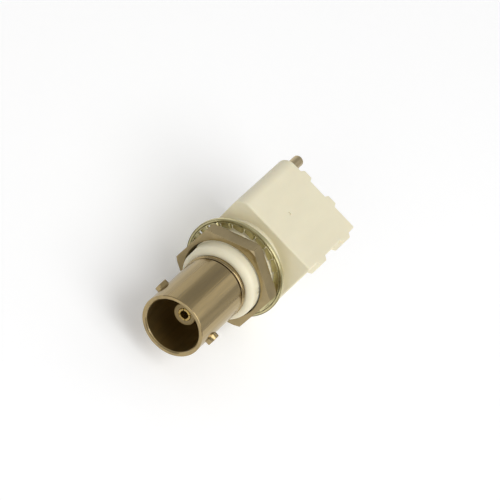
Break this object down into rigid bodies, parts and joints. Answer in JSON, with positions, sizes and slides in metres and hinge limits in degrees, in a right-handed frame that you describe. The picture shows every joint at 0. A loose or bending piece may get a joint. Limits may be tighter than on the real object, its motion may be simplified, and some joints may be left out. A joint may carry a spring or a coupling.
{
  "type": "coaxial bayonet connector",
  "caption": "Insulated bulkhead BNC jack for a circuit board: cream housing, nickel bayonet barrel, gold socket contact, panel nut and lock washer.",
  "frame": {"origin": "on the connector's axis, in the board seating plane that the four rear standoffs touch", "axes": "+Y along the axis towards the board and the signal pin's tip, so the mating mouth faces -Y; +Z is the normal of the block's large face; +X is the side with the feet"},
  "size_m": [0.0162, 0.0402, 0.0158],
  "materials": {
    "cream_plastic": "satin moulded",
    "nickel": "turned, nickel plated",
    "nut_nickel": "nickel plated",
    "spring_bronze": "nickel plated",
    "gold": "gold plated",
    "insulator": "matte",
    "pin_metal": "tin plated"
  },
  "bodies": {
    "connector": {"housing": "cream_plastic", "shell": "nickel", "front_insulator": "insulator", "rear_insulator": "insulator", "centre_contact": "gold", "ground_terminal": "pin_metal", "post_upper": "pin_metal", "post_lower": "pin_metal"},
    "washer": {"lock_washer": "spring_bronze"},
    "nut": {"hex_nut": "nut_nickel"}
  },
  "joints": [
    {"name": "washer_slide", "type": "slide", "parent": "connector", "child": "washer", "axis": [0, -1, 0], "range_m": [-0.0025, 0.0038]},
    {"name": "nut_turn", "type": "hinge", "parent": "washer", "child": "nut", "pos_m": [0, -0.02, 0], "axis": [0, -1, 0], "range_deg": [-990, 1500]}
  ],
  "couplings": [
    {"joint": "washer_slide", "follows": "nut_turn", "m_per_rad": 0.00014438}
  ]
}
